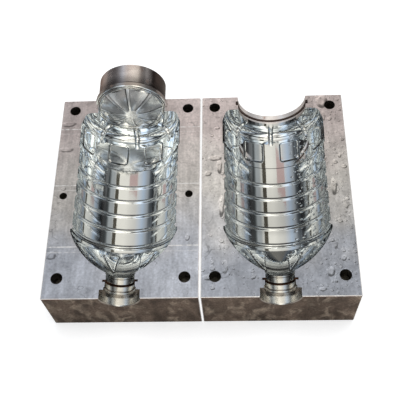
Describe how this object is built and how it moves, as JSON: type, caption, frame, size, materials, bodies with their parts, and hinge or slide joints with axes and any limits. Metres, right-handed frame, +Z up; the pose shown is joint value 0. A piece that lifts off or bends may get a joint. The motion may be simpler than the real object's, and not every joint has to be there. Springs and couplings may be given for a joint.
{
  "type": "bottle blow mould",
  "caption": "Two half blocks of a ribbed bottle's blow mould lie open side by side, mirror polished inside, with a round petal base plug resting in one half's end seat.",
  "frame": {"origin": "centre of the bounding box at the underside of the blocks, on the bench", "axes": "+Z up out of the parting faces; +X across both halves, from the one with the base plug to the empty one; +Y along the bottle axes, from the neck ends to the base ends"},
  "size_m": [0.4424, 0.3686, 0.1525],
  "materials": {
    "mould_steel": "ground parting face, mirror polished cavity, stained outer sides",
    "polished_steel": "mirror polished face, fine turned rim",
    "turned_steel": "turned, browned with use",
    "seal_rubber": "soft black",
    "screw_steel": "black oxide",
    "stopper_brass": "machined brass"
  },
  "bodies": {
    "root": {"left_half": "mould_steel", "right_half": "mould_steel", "base_insert": "polished_steel", "base_body": "turned_steel", "base_seal": "seal_rubber", "base_screws": "screw_steel", "base_dowels": "screw_steel", "left_channel_stopper": "stopper_brass", "right_channel_stopper": "stopper_brass"}
  },
  "joints": []
}
